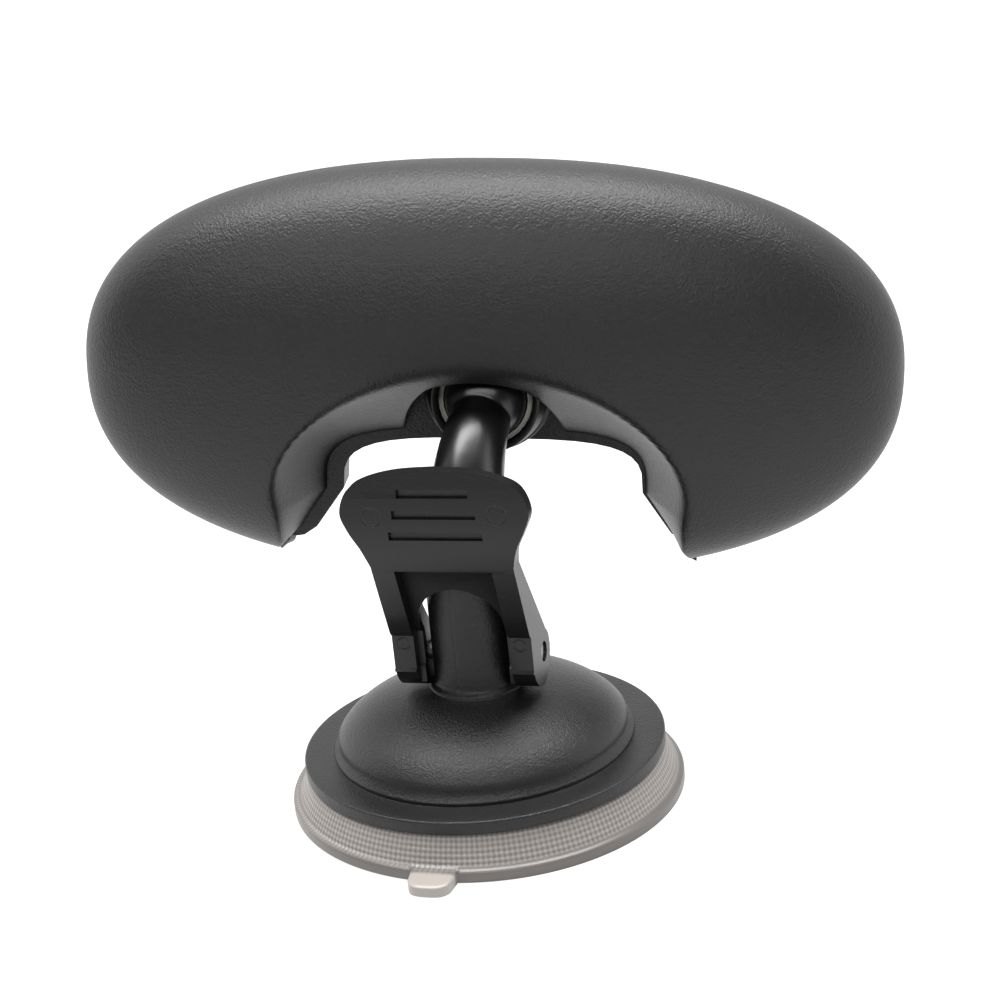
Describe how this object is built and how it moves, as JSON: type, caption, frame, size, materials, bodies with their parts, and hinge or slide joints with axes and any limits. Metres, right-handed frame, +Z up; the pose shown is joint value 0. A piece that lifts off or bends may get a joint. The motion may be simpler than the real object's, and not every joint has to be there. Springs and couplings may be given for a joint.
{
  "type": "suction-mounted interior mirror",
  "caption": "Wide-angle interior mirror with a bean-shaped head on a ball joint, a short bent arm and a lever-locked suction base.",
  "frame": {"origin": "centre of the suction face", "axes": "+Z up the stem, -Y towards the locking lever, +Y the way the mirror looks, +X to the right seen from the lever side"},
  "size_m": [0.1774, 0.1091, 0.131],
  "materials": {
    "clear_vinyl": "translucent, finely knurled on top",
    "grained_black": "fine moulded grain",
    "satin_black": "satin",
    "nylon": "smooth",
    "steel": "zinc plated",
    "silvered_glass": "polished",
    "foam": "open-cell foam"
  },
  "bodies": {
    "base": {"suction_cup": "clear_vinyl", "base_shell": "grained_black", "ball_arm": "satin_black", "arm_screw": "steel"},
    "plunger": {"cup_insert": "nylon", "plunger": "nylon", "lever_pin": "steel", "plunger_spring": "steel"},
    "lever": {"lever": "satin_black"},
    "liner": {"ball_liner": "nylon"},
    "pressure": {"pressure_cup": "nylon"},
    "head": {"rear_housing": "grained_black", "mirror_frame": "grained_black", "mirror_glass": "silvered_glass", "mirror_pad": "foam", "socket_collar": "satin_black", "pressure_spring": "steel", "housing_screw_1": "steel", "housing_screw_2": "steel", "housing_screw_3": "steel", "housing_screw_4": "steel", "collar_screw_1": "steel", "collar_screw_2": "steel", "collar_screw_3": "steel"}
  },
  "joints": [
    {"name": "plunger_lift", "type": "slide", "parent": "base", "child": "plunger", "axis": [0, 0, 1], "range_m": [0, 0.0024], "deforming": ["plunger_spring"]},
    {"name": "lever_turn", "type": "hinge", "parent": "plunger", "child": "lever", "pos_m": [0, 0, 0.0325], "axis": [1, 0, 0], "range_deg": [0, 80]},
    {"name": "head_yaw", "type": "hinge", "parent": "base", "child": "liner", "pos_m": [0, 0.0263, 0.0803], "axis": [0, 0, 1], "range_deg": [-28, 10]},
    {"name": "head_tilt", "type": "hinge", "parent": "liner", "child": "pressure", "pos_m": [0, 0.0263, 0.0803], "axis": [0.9842, 0.1771, 0], "range_deg": [-7, 15]},
    {"name": "head_roll", "type": "hinge", "parent": "pressure", "child": "head", "pos_m": [0, 0.0263, 0.0803], "axis": [0.1771, -0.9842, 0], "range_deg": [-12, 12]}
  ],
  "couplings": [
    {"joint": "plunger_lift", "follows": "lever_turn", "m_per_rad": 0.001647}
  ]
}
